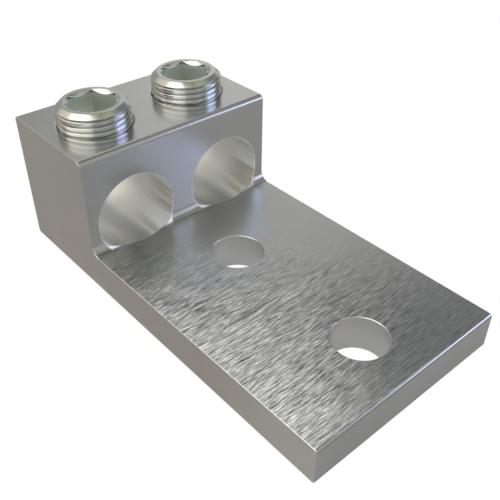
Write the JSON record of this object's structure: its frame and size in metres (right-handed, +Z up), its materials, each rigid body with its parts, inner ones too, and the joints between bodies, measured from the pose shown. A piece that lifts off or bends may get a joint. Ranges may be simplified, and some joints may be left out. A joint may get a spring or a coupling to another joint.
{
  "type": "mechanical lug",
  "caption": "Mechanical terminal lug: a drilled block whose hex-socket set screws clamp conductors in its bores, and a flat tongue drilled for bolts.",
  "frame": {"origin": "centre of the tongue's two bolt holes, on the flat underside", "axes": "+X from the block to the tongue's end, +Z up out of the underside, +Y to the right as seen from the tongue's end looking at the block"},
  "size_m": [0.119, 0.0614, 0.0453],
  "materials": {
    "plated_body": "tin plated, satin, with fine lines drawn across the tongue",
    "plated_screw": "bright plated"
  },
  "bodies": {
    "lug_body": {"body": "plated_body"},
    "left_screw": {"set_screw_left": "plated_screw"},
    "right_screw": {"set_screw_right": "plated_screw"}
  },
  "joints": [
    {"name": "left_screw_travel", "type": "slide", "parent": "lug_body", "child": "left_screw", "axis": [0, 0, 1], "range_m": [-0.01111, 0.00476]},
    {"name": "right_screw_travel", "type": "slide", "parent": "lug_body", "child": "right_screw", "axis": [0, 0, 1], "range_m": [-0.01111, 0.00476]}
  ]
}
